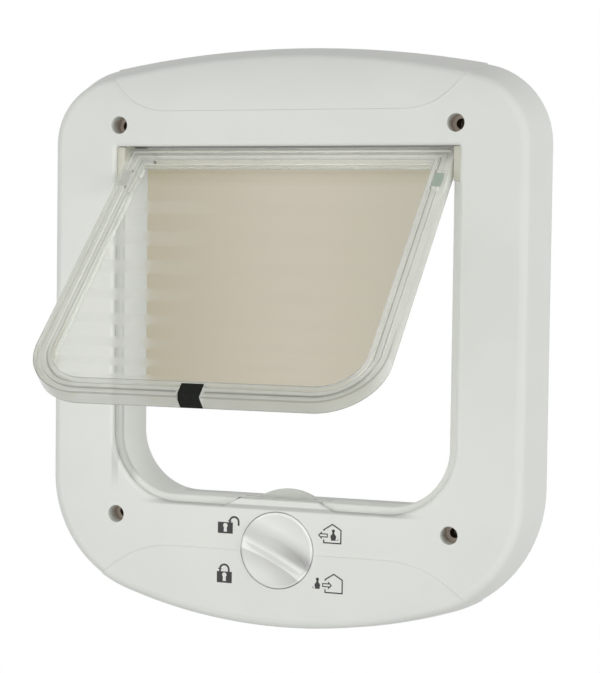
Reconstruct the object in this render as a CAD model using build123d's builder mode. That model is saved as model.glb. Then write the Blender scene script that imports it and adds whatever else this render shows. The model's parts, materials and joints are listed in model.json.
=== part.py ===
"""Four-way locking cat flap: a moulded door frame with a tunnel liner, a clear swinging flap and a lock knob.

Millimetres. X runs to the right, Y from the room into the door, Z up. The origin is the centre of the
four fixing screws on the door face, which is the plane Y = 0. The flap stands open into the room.
"""
import os
from math import cos, radians, sin, sqrt, tan

from build123d import *

os.makedirs("parts", exist_ok=True)

# Frame shell
frame_width = 226.4
frame_top = 118.5
frame_bottom = 132.5
frame_depth = 18.0
frame_wall = 2.5
frame_draft = 19.5
chin_draft = 9.0
frame_edge_radius = 4.2
cavity_edge_radius = 2.0
top_arch_radius = 461.0
bottom_arch_radius = 231.0
top_corner_radius = 34.0
bottom_corner_radius = 57.0

# Raised brow and chin panels
brow_line = 91.5
brow_half_width = 66.5
brow_flare = 47.0
brow_corner_radius = 28.0
brow_height = 0.5
brow_roll_radius = 40.0
chin_line = 97.8
chin_half_width = 64.0
face_tolerance = 0.01
chin_flare = 37.0
chin_corner_radius = 45.0
chin_height = 0.3

# Fixing holes
screw_spacing_x = 152.8
screw_above_tunnel = 8.8
screw_hole_radius = 2.25
screw_head_radius = 3.8
screw_head_depth = 9.0
screw_boss_radius = 5.5

# Tunnel liner
tunnel_width = 153.8
tunnel_top = 76.7
tunnel_bottom = 76.9
tunnel_corner_radius = 27.0
tunnel_length = 29.3
mouth_narrowing = 1.7
liner_wall = 2.0
liner_lip_radius = 1.2
flange_width = 5.0
flange_thickness = 2.0
flange_gap = 0.2

# Front opening around the tunnel mouth
reveal_side = 1.4
reveal_bottom = 1.8
reveal_top = -0.4
opening_corner_radius = 30.0
opening_top_corner_radius = 1.0
opening_edge_radius = 1.7
tab_half_width = 17.9
tab_flare = 10.5
tab_corner_radius = 3.0
tab_edge_radius = 0.8
tab_drop = 0.1

# Hinge
hinge_drop = 5.5
pin_radius = 1.5
pin_grip = 12.0
pin_reach = 3.4
pin_running_fit = 0.04
pin_seat_fit = 0.02
hinge_block_height = 15.0
hinge_block_behind = 5.0
hinge_block_outer = 5.0
hinge_block_gap = 0.5
hinge_block_edge_radius = 0.6
hinge_block_fit = 0.15

# Flap
flap_open_angle = 46.9
flap_side_gap = 0.7
flap_bottom_gap = 0.4
panel_thickness = 2.2
rim_thickness = 6.4
groove_depth = 1.0
ridge_width = 1.8
groove_width = 1.3
ridge_count = 3
flap_rail_rise = 3.2
flap_corner_radius = 26.0
flap_top_corner_radius = 2.0
plug_width = 4.9
plug_height = 9.4
plug_depth = 3.6
plug_wall = 1.0
plug_below_hinge = 16.7
plug_inset = 3.7
plug_recess = 0.8
flap_magnet_width = 9.4
flap_magnet_height = 7.0
flap_magnet_bevel = 2.2
magnet_holder_margin = 1.0
pocket_fit = 0.1

# Lock knob and its two cams
knob_below_centre = 96.8
knob_radius = 16.4
knob_gap = 0.3
knob_rise = 0.8
knob_edge_radius = 0.6
knob_dish_radius = 15.4
knob_dish_depth = 4.0
knob_floor = 4.9
knob_body_radius = 12.0
grip_angle = 154.0
grip_head_width = 4.4
grip_waist_width = 1.8
grip_tail_width = 5.0
grip_spread = 8.6
grip_offset = 1.8
grip_edge_radius = 1.0
grip_drop = 0.3
collar_radius = 20.0
collar_gap = 1.0
collar_thickness = 1.6
collar_pad_radius = 18.6
collar_pad_inner_radius = 17.2
collar_pad_height = 0.7
front_lobe_radius = 28.3
front_lobe_angles = (39.0, 219.0)
lobe_half_angle = 8.0
hub_radius = 9.0
drive_size = 6.0
drive_fit = 0.05
rear_disc_show = 5.1
rear_disc_gap = 0.8
rear_disc_thickness = 2.5
rear_lobe_reach = 3.4
rear_lobe_angles = (39.0, 269.0)
rear_hub_radius = 6.2
rear_hub_length = 1.9
lock_screw_radius = 1.5
lock_screw_fit = 0.05
lock_screw_head_radius = 2.8
lock_screw_head_height = 1.3
lock_screw_length = 7.0
washer_radius = 4.4
washer_thickness = 0.5
washer_seat_radius = 4.6
slot_clearance = 0.5

# Detent
notch_radius = 1.1
notch_angles = (270.0, 220.0, 40.0, 90.0)
spring_thickness = 0.5
spring_width = 3.0
spring_anchor = 34.0
spring_tail = 2.5
spring_post_size = 6.0
spring_nose_radius = 1.0
spring_gap = 0.1
spring_slot_fit = 0.05

# Rear lock cover and its screws
cover_width = 84.0
cover_height = 40.0
cover_top_gap = 6.0
cover_thickness = 1.6
cover_corner_radius = 5.0
cover_recess = 0.2
cover_disc_gap = 0.7
cover_bearing_fit = 0.06
cover_screw_inset = 5.0
cover_boss_radius = 3.2
cover_foot_radius = 4.2
cover_head_recess = 2.0
cover_head_gap = 0.3

# Self-tapping screws that hold the liner, the hinge blocks and the cover
tapper_radius = 1.45
tapper_fit = 0.05
tapper_bite = 6.0
tapper_head_radius = 2.7
tapper_head_height = 1.6
tapper_slot_width = 0.6
tapper_slot_depth = 0.7
ear_front = 10.0
ear_thickness = 2.5
ear_reach = 8.2
ear_margin = 4.2
ear_hole_radius = 1.6
ear_boss_radius = 3.2
liner_ear_heights = (30.0, -30.0)

# Frame magnet
frame_magnet_width = 20.0
frame_magnet_depth = 4.0
frame_magnet_height = 3.6
magnet_pocket_wall = 1.0
magnet_cap_thickness = 0.8

# Stiffening ribs inside the shell
rib_thickness = 1.5
rib_depth = 14.0
side_rib_heights = (58.0, 0.0, -56.0)
top_rib_places = (-42.0, 0.0, 42.0)
rib_clear_of_liner = 2.5
rib_bite = 0.5

# Places that follow from the sizes above
rim_width = ridge_count * ridge_width + (ridge_count - 1) * groove_width
tunnel_half = tunnel_width / 2
screw_spacing_z = 2 * (tunnel_top + screw_above_tunnel)
flange_front = frame_wall + flange_gap
opening_half = tunnel_half + reveal_side
opening_bottom = tunnel_bottom + reveal_bottom
opening_top = tunnel_top + reveal_top
mouth_half = tunnel_half - mouth_narrowing
mouth_bottom = tunnel_bottom - mouth_narrowing
tab_top = mouth_bottom + tab_drop
tab_foot = opening_bottom + opening_edge_radius
hinge_z = tunnel_top - hinge_drop
flap_half = mouth_half - flap_side_gap
knob_z = -knob_below_centre
disc_top = -tunnel_bottom + rear_disc_show
rear_disc_radius = disc_top - knob_z
rear_lobe_radius = rear_disc_radius + rear_lobe_reach
flap_bottom_z = disc_top + flap_bottom_gap
flap_length = hinge_z - flap_bottom_z
hinge_block_inner = flap_half + hinge_block_gap
hinge_block_top = tunnel_top - hinge_block_fit
collar_front = frame_wall + collar_gap
collar_back = collar_front + collar_thickness
knob_back = knob_dish_depth + knob_floor
cover_back = frame_depth - cover_recess
cover_front = cover_back - cover_thickness
rear_disc_back = cover_front - cover_disc_gap
rear_disc_front = rear_disc_back - rear_disc_thickness
drive_end = rear_disc_back - drive_fit
hinge_depth = rear_disc_front - rear_disc_gap - rim_thickness / 2
hinge_y = hinge_depth - frame_depth
hinge_block_back = hinge_depth + hinge_block_behind
cover_screw_seat = cover_back - cover_head_recess
cover_seat = cover_screw_seat - ear_thickness
cover_top = -tunnel_bottom - liner_wall - cover_top_gap
cover_middle = cover_top - cover_height / 2
cover_screw_x = cover_width / 2 - cover_screw_inset
cover_screw_z = cover_height / 2 - cover_screw_inset
ear_screw_x = tunnel_half + liner_wall + ear_reach
hinge_ear_z = hinge_block_top - hinge_block_height / 2
liner_ear_places = [(side * ear_screw_x, z) for side in (-1, 1) for z in liner_ear_heights]
hinge_ear_places = [(side * ear_screw_x, hinge_ear_z) for side in (-1, 1)]
ear_places = liner_ear_places + hinge_ear_places
cover_screw_places = [
    (side * cover_screw_x, cover_middle + rise * cover_screw_z) for side in (-1, 1) for rise in (-1, 1)
]
plug_places = [(side * (flap_half - plug_inset), -plug_below_hinge) for side in (-1, 1)]
spring_front = (knob_back + rear_disc_front - spring_width) / 2
spring_z = knob_z - hub_radius - spring_gap - spring_nose_radius - spring_thickness / 2

door_plane = Plane.XZ
front_plane = Plane.XZ.offset(frame_depth)
flap_plane = Plane(
    origin=(0, hinge_y, hinge_z),
    x_dir=(1, 0, 0),
    z_dir=(0, -cos(radians(flap_open_angle)), sin(radians(flap_open_angle))),
)


def at_depth(depth):
    """Plane parallel to the front face, this far behind it; minus extrusions run into the door."""
    return Plane.XZ.offset(frame_depth - depth)


def polar(radius, angle):
    """Point on a circle about the knob's axis, with the angle counted from +X towards +Z."""
    return radius * cos(radians(angle)), knob_z + radius * sin(radians(angle))


def grip_outline(growth):
    """Waisted outline of the knob's grip along its own axis, with both long sides moved out by this amount."""
    head = grip_head_width / 2 + growth
    waist = grip_waist_width / 2 + growth
    tail = grip_tail_width / 2 + growth
    with BuildSketch() as outline:
        with BuildLine():
            ThreePointArc((knob_radius, head), (0, waist), (-knob_radius, tail))
            Line((-knob_radius, tail), (-knob_radius, -tail))
            ThreePointArc((-knob_radius, -tail), (0, -waist), (knob_radius, -head))
            Line((knob_radius, -head), (knob_radius, head))
        make_face()
    return outline.sketch


def frame_outline(growth, chin_growth):
    """Arched outline of the shell at the door face, moved out by these amounts, or in when they are negative."""
    half = frame_width / 2 + growth
    top = frame_top + growth
    bottom = -frame_bottom - chin_growth
    top_radius = top_arch_radius + growth
    bottom_radius = bottom_arch_radius + chin_growth
    top_end = top - (top_radius - sqrt(top_radius**2 - half**2))
    bottom_end = bottom + (bottom_radius - sqrt(bottom_radius**2 - half**2))
    with BuildSketch() as outline:
        with BuildLine():
            ThreePointArc((-half, top_end), (0, top), (half, top_end))
            Line((half, top_end), (half, bottom_end))
            ThreePointArc((half, bottom_end), (0, bottom), (-half, bottom_end))
            Line((-half, bottom_end), (-half, top_end))
        make_face()
        fillet(outline.vertices().group_by(Axis.Y)[-1], top_corner_radius + growth)
        fillet(outline.vertices().group_by(Axis.Y)[0], bottom_corner_radius + growth)
    return outline.sketch


def drafted_block(growth, height, edge_radius):
    """Solid on the grown outline that narrows with the draft, rolls back at the brow and has a round front edge."""
    with BuildPart() as block:
        with BuildSketch(door_plane):
            add(frame_outline(growth, growth))
        with BuildSketch(door_plane.offset(height)):
            add(
                frame_outline(
                    growth - height * tan(radians(frame_draft)), growth - height * tan(radians(chin_draft))
                )
            )
        loft(ruled=True)
        with BuildSketch(Plane.YZ):
            with BuildLine():
                roll = brow_roll_radius + growth
                middle = (roll * (1 - cos(radians(45))) - height, brow_line + roll * sin(radians(45)))
                ThreePointArc((-height, brow_line), middle, (roll - height, brow_line + roll))
                Polyline(
                    (roll - height, brow_line + roll),
                    (roll - height, -frame_width),
                    (-height, -frame_width),
                    (-height, brow_line),
                )
            make_face()
        extrude(amount=frame_width, both=True, mode=Mode.INTERSECT)
        front_edges = [edge for face in block.faces().sort_by(Axis.Y)[:2] for edge in face.edges()]
        fillet([edge for edge in front_edges if front_edges.count(edge) == 1], edge_radius)
    return block.part


def flared_region(line, half_width, flare, corner_radius, side):
    """Face beyond a straight line whose ends turn away to the rim; side is 1 above and -1 below."""
    rise = frame_width / 2
    run = rise / (sin(radians(flare)) / cos(radians(flare)))
    with BuildSketch() as region:
        with BuildLine():
            Polyline(
                (-half_width, side * line),
                (half_width, side * line),
                (half_width + run, side * (line + rise)),
                (-half_width - run, side * (line + rise)),
                close=True,
            )
        make_face()
        near = region.vertices().group_by(Axis.Y)[0 if side > 0 else -1]
        fillet(near, corner_radius)
    return region.sketch


def passage(half, top, bottom, corner_radius, top_radius):
    """Opening with square upper corners and round lower ones."""
    with BuildSketch() as opening:
        with BuildLine():
            Polyline((-half, top), (half, top), (half, -bottom), (-half, -bottom), close=True)
        make_face()
        fillet(opening.vertices().group_by(Axis.Y)[0], corner_radius)
        fillet(opening.vertices().group_by(Axis.Y)[-1], top_radius)
    return opening.sketch


def grown(sketch, amount):
    """The same outline moved out by an amount, or in when it is negative."""
    with BuildSketch() as result:
        add(sketch)
        offset(amount=amount)
    return result.sketch


def cam_outline(base_radius, lobe_radius, lobe_angles):
    """Round cam about the knob's axis with a raised lobe at each angle."""
    with BuildSketch() as cam:
        with Locations((0, knob_z)):
            Circle(base_radius)
        for angle in lobe_angles:
            with BuildLine():
                start = polar(lobe_radius, angle - lobe_half_angle)
                end = polar(lobe_radius, angle + lobe_half_angle)
                foot_start = polar(base_radius / 2, angle - lobe_half_angle)
                foot_end = polar(base_radius / 2, angle + lobe_half_angle)
                ThreePointArc(start, polar(lobe_radius, angle), end)
                Polyline(end, foot_end, foot_start, start)
            make_face()
    return cam.sketch


# Raised panels of the shell
with BuildPart() as brow_panel:
    add(drafted_block(brow_height, frame_depth + brow_height, frame_edge_radius))
    with BuildSketch(door_plane):
        add(flared_region(brow_line, brow_half_width, brow_flare, brow_corner_radius, 1))
    extrude(amount=2 * frame_depth, mode=Mode.INTERSECT)

with BuildPart() as chin_panel:
    add(drafted_block(chin_height, frame_depth + chin_height, frame_edge_radius))
    with BuildSketch(door_plane):
        add(flared_region(chin_line, chin_half_width, chin_flare, chin_corner_radius, -1))
    extrude(amount=2 * frame_depth, mode=Mode.INTERSECT)

# Tab that raises the middle of the sill in front of the lock
with BuildPart() as sill_tab:
    with BuildSketch(front_plane) as tab_sketch:
        with BuildLine():
            Polyline(
                (-tab_half_width - tab_flare, -tab_foot),
                (-tab_half_width, -tab_top),
                (tab_half_width, -tab_top),
                (tab_half_width + tab_flare, -tab_foot),
                close=True,
            )
        make_face()
        fillet(tab_sketch.vertices().group_by(Axis.Y)[-1], tab_corner_radius)
    extrude(amount=-frame_wall)
    tab_edges = sill_tab.faces().sort_by(Axis.Y)[0].edges().sort_by(Axis.Z)
    fillet(tab_edges[1:], tab_edge_radius)

# Front frame: shell, screw bosses, ribs and the opening with its raised tab
with BuildPart() as front_frame:
    add(drafted_block(0, frame_depth, frame_edge_radius))
    add(brow_panel.part)
    add(chin_panel.part)
    add(drafted_block(-frame_wall, frame_depth - frame_wall, cavity_edge_radius), mode=Mode.SUBTRACT)
    with BuildSketch(door_plane):
        with GridLocations(screw_spacing_x, screw_spacing_z, 2, 2):
            Circle(screw_boss_radius)
    extrude(amount=frame_depth - frame_wall / 2)
    with BuildSketch(at_depth(ear_front)):
        with Locations(*ear_places):
            Circle(ear_boss_radius)
    extrude(amount=ear_front - frame_wall / 2)
    with BuildSketch(at_depth(cover_seat)):
        with Locations(*cover_screw_places):
            Circle(cover_boss_radius)
        with Locations((-spring_anchor, spring_z)):
            Rectangle(spring_post_size, spring_post_size)
    extrude(amount=cover_seat - frame_wall / 2)
    rib_root = frame_wall / 2 - frame_depth
    rib_end = rib_depth - frame_depth
    wall_middle = (frame_width - frame_wall) / 2
    for z in side_rib_heights:
        for side in (-1, 1):
            with BuildSketch(Plane.XY.offset(z - rib_thickness / 2)):
                with BuildLine():
                    inner = side * (tunnel_half + flange_width + rib_clear_of_liner)
                    outer_front = side * (wall_middle + rib_root * tan(radians(frame_draft)))
                    outer_back = side * (wall_middle + rib_end * tan(radians(frame_draft)))
                    Polyline(
                        (inner, rib_root),
                        (outer_front, rib_root),
                        (outer_back, rib_end),
                        (inner, rib_end),
                        close=True,
                    )
                make_face()
            extrude(amount=rib_thickness)
    for x in top_rib_places:
        arch_drop = top_arch_radius - sqrt(top_arch_radius**2 - x**2)
        with BuildSketch(Plane.YZ.offset(x - rib_thickness / 2)):
            with BuildLine():
                inner = tunnel_top + liner_wall + rib_clear_of_liner
                outer_back = frame_top - arch_drop - frame_wall - rib_bite
                Polyline(
                    (rib_root, inner),
                    (rib_root, brow_line),
                    (rib_end, outer_back),
                    (rib_end, inner),
                    close=True,
                )
            make_face()
        extrude(amount=rib_thickness)
    with BuildSketch(front_plane):
        add(
            passage(
                opening_half, opening_top, opening_bottom, opening_corner_radius, opening_top_corner_radius
            )
        )
    extrude(amount=-2 * frame_wall, mode=Mode.SUBTRACT)
    front_faces = front_frame.faces().filter_by_position(
        Axis.Y, -frame_depth - face_tolerance, -frame_depth + face_tolerance
    )
    face = front_faces.sort_by(SortBy.AREA)[-1]
    fillet(face.inner_wires().sort_by(SortBy.LENGTH)[-1].edges(), opening_edge_radius)
    add(sill_tab.part)
    with BuildSketch(at_depth(-frame_wall)):
        with Locations((0, knob_z)):
            Circle(knob_radius + knob_gap)
    extrude(amount=-3 * frame_wall, mode=Mode.SUBTRACT)
    with Locations(front_plane):
        with GridLocations(screw_spacing_x, screw_spacing_z, 2, 2):
            CounterBoreHole(screw_hole_radius, screw_head_radius, screw_head_depth)
    with BuildSketch(at_depth(ear_front)):
        with Locations(*ear_places):
            Circle(tapper_radius + tapper_fit)
    extrude(amount=tapper_bite, mode=Mode.SUBTRACT)
    with BuildSketch(at_depth(cover_seat)):
        with Locations(*cover_screw_places):
            Circle(tapper_radius + tapper_fit)
    extrude(amount=tapper_bite, mode=Mode.SUBTRACT)
    with BuildSketch(at_depth(spring_front)):
        with Locations((-spring_anchor, spring_z)):
            Rectangle(2 * spring_post_size, spring_thickness + 2 * spring_slot_fit)
    extrude(amount=spring_front - cover_seat, mode=Mode.SUBTRACT)
    front_frame.part.label = "front_frame"
export_step(front_frame.part, "parts/front_frame.step")

# Tunnel liner: the walls of the passage, a flange behind the frame's opening, ears and the magnet pocket
with BuildPart() as tunnel_liner:
    tunnel_outline = passage(
        tunnel_half, tunnel_top, tunnel_bottom, tunnel_corner_radius, opening_top_corner_radius
    )
    mouth_outline = passage(
        mouth_half, tunnel_top, mouth_bottom, tunnel_corner_radius - mouth_narrowing, opening_top_corner_radius
    )
    with BuildSketch(at_depth(flange_front)):
        add(grown(tunnel_outline, liner_wall))
    extrude(amount=-tunnel_length)
    with BuildSketch(at_depth(flange_front)):
        add(grown(tunnel_outline, flange_width))
        with Locations((0, tunnel_top + liner_wall)):
            Rectangle(2 * frame_width, frame_width, align=(Align.CENTER, Align.MAX), mode=Mode.INTERSECT)
    extrude(amount=-flange_thickness)
    with BuildSketch(at_depth(ear_front)):
        for side in (-1, 1):
            for z in liner_ear_heights:
                with Locations((side * (tunnel_half + (ear_reach + liner_wall + ear_margin) / 2), z)):
                    Rectangle(ear_reach + liner_wall + ear_margin, 2 * ear_margin)
    extrude(amount=-ear_thickness)
    with BuildSketch(Plane.XY.offset(-tunnel_bottom - liner_wall / 2)):
        with Locations((0, hinge_y)):
            Rectangle(
                frame_magnet_width + 2 * (pocket_fit + magnet_pocket_wall),
                frame_magnet_depth + 2 * (pocket_fit + magnet_pocket_wall),
            )
    extrude(amount=-liner_wall / 2 - frame_magnet_height - magnet_cap_thickness)
    with BuildSketch(at_depth(flange_front)):
        add(mouth_outline)
    with BuildSketch(at_depth(flange_front + tunnel_length)):
        add(tunnel_outline)
    loft(ruled=True, mode=Mode.SUBTRACT)
    mouth = tunnel_liner.faces().sort_by(Axis.Y)[0]
    fillet(mouth.inner_wires()[0].edges(), liner_lip_radius)
    with BuildSketch(Plane.XY.offset(-tunnel_bottom - liner_wall)):
        with Locations((0, hinge_y)):
            Rectangle(frame_magnet_width + 2 * pocket_fit, frame_magnet_depth + 2 * pocket_fit)
    extrude(amount=-frame_magnet_height - magnet_cap_thickness, mode=Mode.SUBTRACT)
    with BuildSketch(at_depth(flange_front)):
        for side in (-1, 1):
            with Locations((side * (hinge_block_inner - hinge_block_fit), hinge_block_top + hinge_block_fit)):
                Rectangle(
                    flange_width + 2 * liner_wall,
                    hinge_block_height + 2 * hinge_block_fit,
                    align=(Align.MIN if side > 0 else Align.MAX, Align.MAX),
                )
    extrude(amount=flange_front - hinge_block_back - hinge_block_fit, mode=Mode.SUBTRACT)
    with BuildSketch(at_depth(flange_front)):
        with Locations((0, knob_z)):
            Circle(front_lobe_radius + slot_clearance)
    extrude(amount=flange_front - collar_back - slot_clearance, mode=Mode.SUBTRACT)
    with BuildSketch(at_depth(rear_disc_front - slot_clearance)):
        with Locations((0, knob_z)):
            Circle(rear_lobe_radius + slot_clearance)
    extrude(amount=-rear_disc_thickness - 2 * slot_clearance, mode=Mode.SUBTRACT)
    with Locations(at_depth(ear_front)):
        with Locations(*liner_ear_places):
            Hole(ear_hole_radius, depth=2 * ear_thickness)
    tunnel_liner.part.label = "tunnel_liner"
export_step(tunnel_liner.part, "parts/tunnel_liner.step")

# Hinge blocks: one in each upper corner, with a blind bearing bore and a screw ear
for side, name in ((-1, "hinge_block_left"), (1, "hinge_block_right")):
    with BuildPart() as hinge_block:
        outward = Align.MIN if side > 0 else Align.MAX
        with BuildSketch(at_depth(flange_front)):
            with Locations((side * hinge_block_inner, hinge_block_top)):
                Rectangle(
                    tunnel_half + hinge_block_outer - hinge_block_inner,
                    hinge_block_height,
                    align=(outward, Align.MAX),
                )
        extrude(amount=flange_front - hinge_block_back)
        fillet(hinge_block.edges().filter_by(Axis.Z), hinge_block_edge_radius)
        with BuildSketch(at_depth(ear_front)):
            with Locations((side * (hinge_block_inner + hinge_block_edge_radius), hinge_ear_z)):
                Rectangle(
                    ear_screw_x + ear_margin - hinge_block_inner - hinge_block_edge_radius,
                    2 * ear_margin,
                    align=(outward, Align.CENTER),
                )
        extrude(amount=-ear_thickness)
        with BuildSketch(Plane.YZ.offset(side * hinge_block_inner)):
            with Locations((hinge_y, hinge_z)):
                Circle(pin_radius + pin_running_fit)
        extrude(amount=side * pin_reach, mode=Mode.SUBTRACT)
        with Locations(at_depth(ear_front)):
            with Locations((side * ear_screw_x, hinge_ear_z)):
                Hole(ear_hole_radius, depth=2 * ear_thickness)
        hinge_block.part.label = name
    export_step(hinge_block.part, f"parts/{name}.step")


def tapping_screws(places, seat, grip):
    """Slotted pan-head screws driven from the back, with heads at this depth over a sheet this thick."""
    with BuildPart() as screws:
        with BuildSketch(at_depth(seat)):
            with Locations(*places):
                Circle(tapper_head_radius)
        extrude(amount=-tapper_head_height)
        with BuildSketch(at_depth(seat)):
            with Locations(*places):
                Circle(tapper_radius)
        extrude(amount=grip + tapper_bite - tapper_radius)
        with BuildSketch(at_depth(seat + tapper_head_height)):
            with Locations(*places):
                Rectangle(2 * tapper_head_radius, tapper_slot_width)
        extrude(amount=tapper_slot_depth, mode=Mode.SUBTRACT)
    return screws.part


liner_screws = tapping_screws(liner_ear_places, ear_front + ear_thickness, ear_thickness)
liner_screws.label = "liner_screws"
export_step(liner_screws, "parts/liner_screws.step")

hinge_block_screws = tapping_screws(hinge_ear_places, ear_front + ear_thickness, ear_thickness)
hinge_block_screws.label = "hinge_block_screws"
export_step(hinge_block_screws, "parts/hinge_block_screws.step")

# Frame magnet under the sill, closed in by a small cap
with BuildPart() as frame_magnet:
    with BuildSketch(Plane.XY.offset(-tunnel_bottom - liner_wall)):
        with Locations((0, hinge_y)):
            Rectangle(frame_magnet_width, frame_magnet_depth)
    extrude(amount=-frame_magnet_height)
    frame_magnet.part.label = "frame_magnet"
export_step(frame_magnet.part, "parts/frame_magnet.step")

with BuildPart() as magnet_cap:
    with BuildSketch(Plane.XY.offset(-tunnel_bottom - liner_wall - frame_magnet_height)):
        with Locations((0, hinge_y)):
            Rectangle(frame_magnet_width + pocket_fit, frame_magnet_depth + pocket_fit)
    extrude(amount=-magnet_cap_thickness)
    magnet_cap.part.label = "magnet_cap"
export_step(magnet_cap.part, "parts/magnet_cap.step")

# Lock knob: a dished disc with a waisted, ridged grip, a collar with two lobes, a notched hub and a square drive
with BuildPart() as knob_grip:
    grip_plane = Plane(
        origin=(0, -frame_depth - knob_rise + grip_drop, knob_z),
        x_dir=(cos(radians(grip_angle)), 0, sin(radians(grip_angle))),
        z_dir=(0, -1, 0),
    )
    with BuildSketch(grip_plane):
        with Locations((0, grip_offset)):
            add(grip_outline(0))
    with BuildSketch(grip_plane.offset(grip_drop - knob_rise - knob_back)):
        with Locations((0, grip_offset)):
            add(grip_outline(grip_spread))
    loft(ruled=True)
    fillet(knob_grip.faces().sort_by(Axis.Y)[0].edges().filter_by(GeomType.CIRCLE), grip_edge_radius)

with BuildPart() as knob_dish:
    dish_rise = knob_dish_depth + knob_rise
    dish_sphere = (knob_dish_radius**2 + dish_rise**2) / (2 * dish_rise)
    with Locations((0, knob_dish_depth - dish_sphere - frame_depth, knob_z)):
        Sphere(dish_sphere)
    add(knob_grip.part, mode=Mode.SUBTRACT)

with BuildPart() as lock_knob:
    with BuildSketch(at_depth(-knob_rise)):
        with Locations((0, knob_z)):
            Circle(knob_radius)
    extrude(amount=-knob_rise - collar_front)
    fillet(lock_knob.faces().sort_by(Axis.Y)[0].edges(), knob_edge_radius)
    with BuildSketch(at_depth(collar_front)):
        add(cam_outline(collar_radius, front_lobe_radius, front_lobe_angles))
    extrude(amount=-collar_thickness)
    with BuildSketch(at_depth(collar_front)):
        with Locations((0, knob_z)):
            Circle(collar_pad_radius)
            Circle(collar_pad_inner_radius, mode=Mode.SUBTRACT)
    extrude(amount=collar_pad_height)
    with BuildSketch(at_depth(collar_back)):
        with Locations((0, knob_z)):
            Circle(knob_body_radius)
    extrude(amount=collar_back - knob_back)
    add(knob_dish.part, mode=Mode.SUBTRACT)
    with BuildSketch(at_depth(knob_back)):
        with Locations((0, knob_z)):
            Circle(hub_radius)
        with Locations(*[polar(hub_radius, angle) for angle in notch_angles]):
            Circle(notch_radius, mode=Mode.SUBTRACT)
    extrude(amount=knob_back - rear_disc_front)
    with BuildSketch(at_depth(rear_disc_front)):
        with Locations((0, knob_z)):
            Rectangle(drive_size, drive_size)
    extrude(amount=rear_disc_front - drive_end)
    with BuildSketch(at_depth(drive_end)):
        with Locations((0, knob_z)):
            Circle(lock_screw_radius + lock_screw_fit)
    extrude(amount=lock_screw_length, mode=Mode.SUBTRACT)
    lock_knob.part.label = "lock_knob"
export_step(lock_knob.part, "parts/lock_knob.step")

# Rear lock disc: keyed on the square drive, its hub turns in the cover
with BuildPart() as rear_lock_disc:
    with BuildSketch(at_depth(rear_disc_front)):
        add(cam_outline(rear_disc_radius, rear_lobe_radius, rear_lobe_angles))
    extrude(amount=-rear_disc_thickness)
    with BuildSketch(at_depth(rear_disc_back)):
        with Locations((0, knob_z)):
            Circle(rear_hub_radius)
            Circle(washer_seat_radius, mode=Mode.SUBTRACT)
    extrude(amount=-rear_hub_length)
    with BuildSketch(at_depth(rear_disc_front)):
        with Locations((0, knob_z)):
            Rectangle(drive_size + 2 * drive_fit, drive_size + 2 * drive_fit)
    extrude(amount=-rear_disc_thickness, mode=Mode.SUBTRACT)
    rear_lock_disc.part.label = "rear_lock_disc"
export_step(rear_lock_disc.part, "parts/rear_lock_disc.step")

with BuildPart() as knob_washer:
    with BuildSketch(at_depth(rear_disc_back)):
        with Locations((0, knob_z)):
            Circle(washer_radius)
            Circle(lock_screw_radius + lock_screw_fit, mode=Mode.SUBTRACT)
    extrude(amount=-washer_thickness)
    knob_washer.part.label = "knob_washer"
export_step(knob_washer.part, "parts/knob_washer.step")

with BuildPart() as knob_screw:
    knob_screw_seat = rear_disc_back + washer_thickness
    with BuildSketch(at_depth(knob_screw_seat)):
        with Locations((0, knob_z)):
            Circle(lock_screw_head_radius)
    extrude(amount=-lock_screw_head_height)
    with BuildSketch(at_depth(knob_screw_seat)):
        with Locations((0, knob_z)):
            Circle(lock_screw_radius)
    extrude(amount=lock_screw_length - lock_screw_radius)
    with BuildSketch(at_depth(knob_screw_seat + lock_screw_head_height)):
        with Locations((0, knob_z)):
            Rectangle(2 * lock_screw_head_radius, tapper_slot_width)
    extrude(amount=tapper_slot_depth, mode=Mode.SUBTRACT)
    knob_screw.part.label = "knob_screw"
export_step(knob_screw.part, "parts/knob_screw.step")

# Detent leaf: held in the slotted post, its nose bears on the notched hub
with BuildPart() as detent_spring:
    with BuildSketch(at_depth(spring_front)):
        with BuildLine():
            left = -spring_anchor - spring_post_size / 2
            top = spring_z + spring_thickness / 2
            foot = spring_z - spring_thickness / 2
            Polyline(
                (-spring_nose_radius, top),
                (left, top),
                (left, foot),
                (spring_tail, foot),
                (spring_tail, top),
                (spring_nose_radius, top),
            )
            ThreePointArc(
                (spring_nose_radius, top), (0, top + spring_nose_radius), (-spring_nose_radius, top)
            )
        make_face()
    extrude(amount=-spring_width)
    detent_spring.part.label = "detent_spring"
export_step(detent_spring.part, "parts/detent_spring.step")

# Lock cover over the mechanism: a plate with the rear bearing and four feet that take the screw heads
with BuildPart() as lock_cover:
    with BuildSketch(at_depth(cover_front)):
        with Locations((0, cover_middle)):
            RectangleRounded(cover_width, cover_height, cover_corner_radius)
    extrude(amount=-cover_thickness)
    with BuildSketch(at_depth(cover_seat)):
        with Locations(*cover_screw_places):
            Circle(cover_foot_radius)
    extrude(amount=cover_seat - cover_back)
    with BuildSketch(at_depth(cover_front)):
        with Locations((0, knob_z)):
            Circle(rear_hub_radius + cover_bearing_fit)
    extrude(amount=-cover_thickness, mode=Mode.SUBTRACT)
    with BuildSketch(at_depth(cover_seat)):
        with Locations(*cover_screw_places):
            Circle(ear_hole_radius)
    extrude(amount=-ear_thickness, mode=Mode.SUBTRACT)
    with BuildSketch(at_depth(cover_screw_seat)):
        with Locations(*cover_screw_places):
            Circle(tapper_head_radius + cover_head_gap)
    extrude(amount=-cover_head_recess, mode=Mode.SUBTRACT)
    lock_cover.part.label = "lock_cover"
export_step(lock_cover.part, "parts/lock_cover.step")

lock_cover_screws = tapping_screws(cover_screw_places, cover_screw_seat, ear_thickness)
lock_cover_screws.label = "lock_cover_screws"
export_step(lock_cover_screws, "parts/lock_cover_screws.step")

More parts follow.
